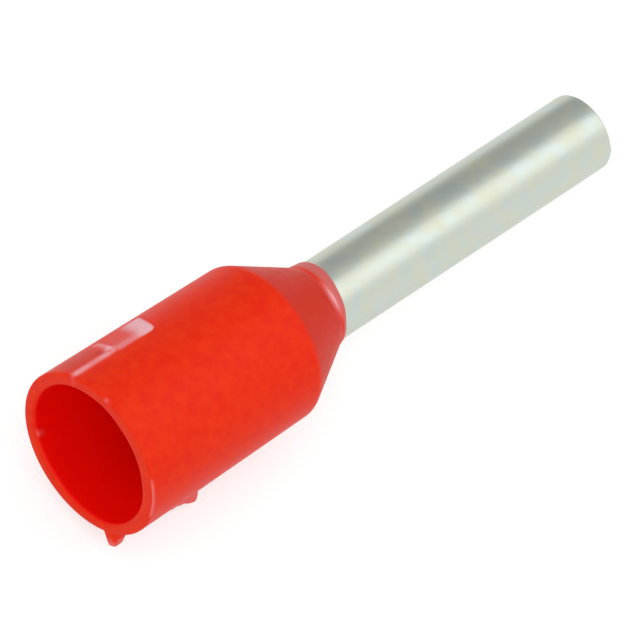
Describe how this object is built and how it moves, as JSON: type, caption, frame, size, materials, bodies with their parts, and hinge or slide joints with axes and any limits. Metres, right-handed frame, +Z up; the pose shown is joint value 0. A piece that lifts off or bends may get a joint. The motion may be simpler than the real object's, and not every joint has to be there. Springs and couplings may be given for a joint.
{
  "type": "insulated wire ferrule",
  "caption": "Red-collared crimp ferrule: a plastic funnel collar on a tinned tube that gathers the bare strands of a wire, with a torn strip web on the collar.",
  "frame": {"origin": "on the surface the ferrule lies on, under the middle of its length", "axes": "+X from the mouth to the tip, level; +Z up; the ferrule's own axis dips 5.35 degrees from +X towards the tip"},
  "size_m": [0.0142, 0.0036, 0.0039],
  "materials": {
    "collar_plastic": "satin moulded nylon, slightly translucent at thin edges",
    "tin_plate": "matt tin plate on copper"
  },
  "bodies": {
    "root": {"insulating_collar": "collar_plastic", "crimp_tube": "tin_plate"}
  },
  "joints": []
}
